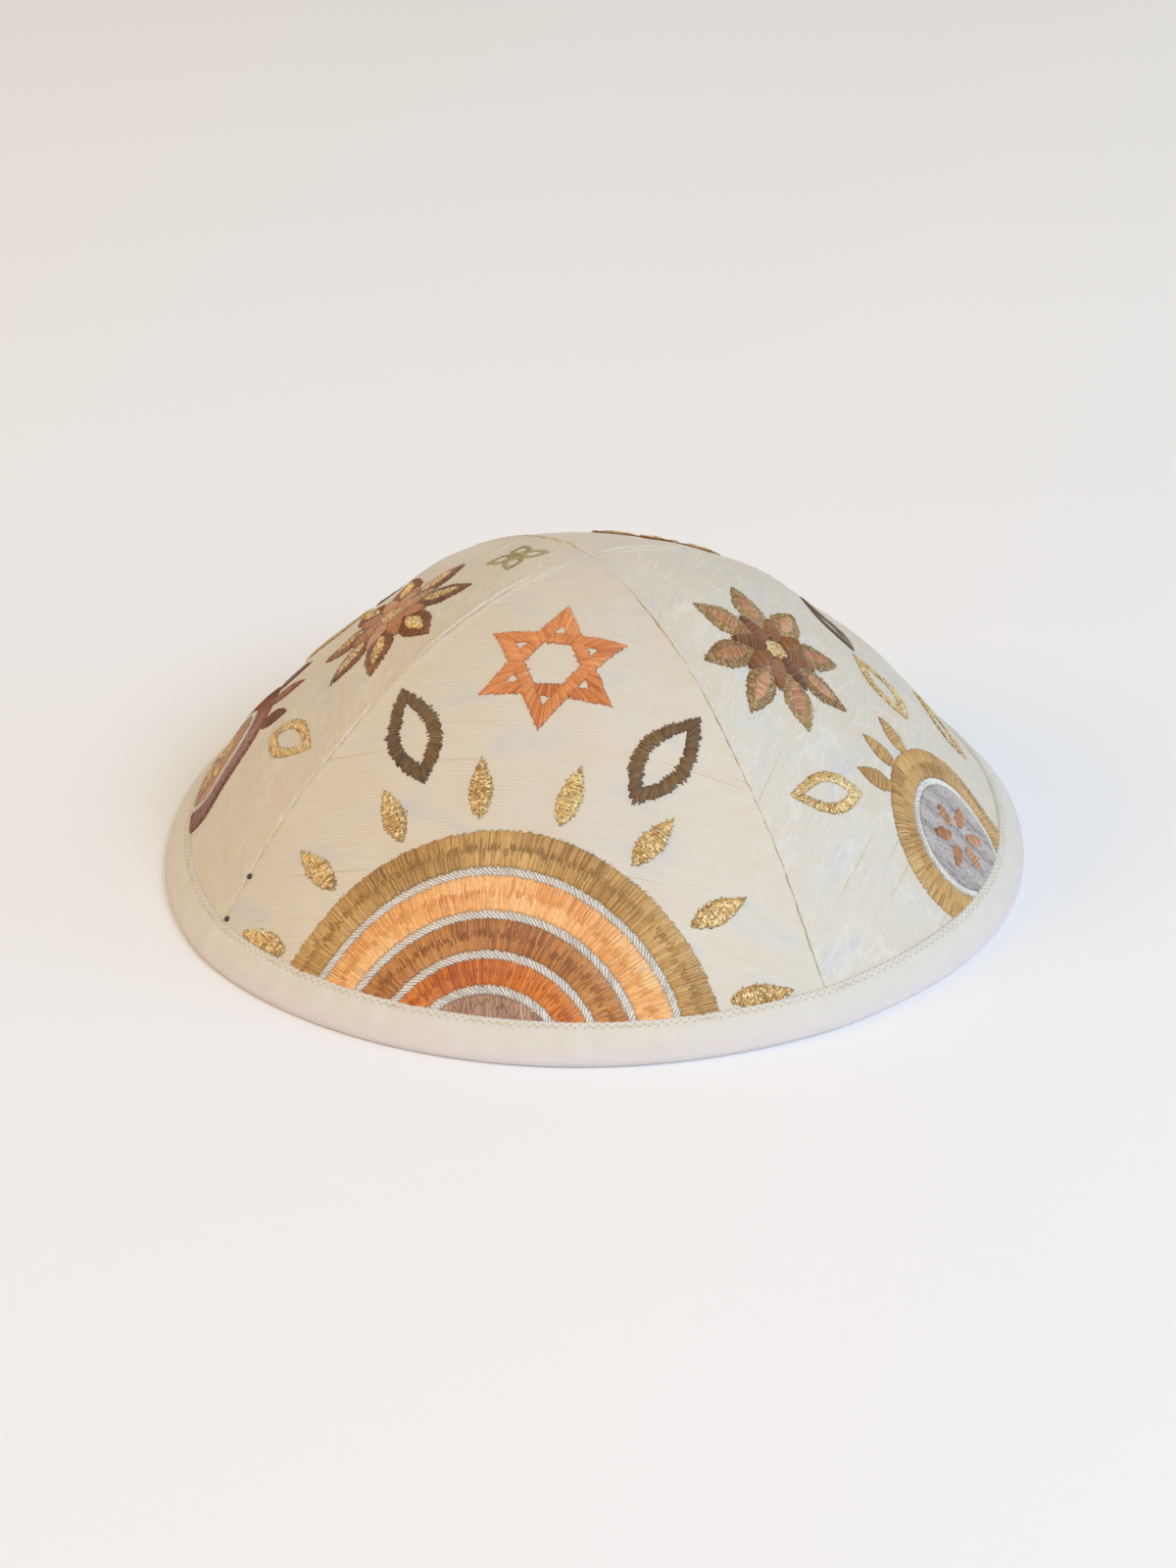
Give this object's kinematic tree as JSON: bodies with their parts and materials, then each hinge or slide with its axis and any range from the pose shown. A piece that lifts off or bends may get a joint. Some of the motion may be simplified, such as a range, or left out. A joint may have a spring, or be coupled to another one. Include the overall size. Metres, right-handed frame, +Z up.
{
  "type": "kippah",
  "caption": "Embroidered silk kippah: a shallow open dome of sewn gores with a folded tape binding round its rim.",
  "frame": {"origin": "middle of the rim's footprint on the floor, under the crown", "axes": "+Z up through the crown; -Y is the front, the middle of gore_front; +X is the middle of gore_right"},
  "size_m": [0.1788, 0.1769, 0.0648],
  "materials": {
    "gore_front": "ivory dupioni silk, softly lustrous, with embroidery added in the visual",
    "gore_right": "ivory dupioni silk, softly lustrous, with embroidery added in the visual",
    "gore_back": "ivory dupioni silk, softly lustrous, with embroidery added in the visual",
    "gore_left": "ivory dupioni silk, softly lustrous, with embroidery added in the visual",
    "rim_binding": "matt woven cotton-silk bias tape, edge-stitched"
  },
  "bodies": {
    "root": {"gore_front": "gore_front", "gore_right": "gore_right", "gore_back": "gore_back", "gore_left": "gore_left", "rim_binding": "rim_binding"}
  },
  "joints": []
}
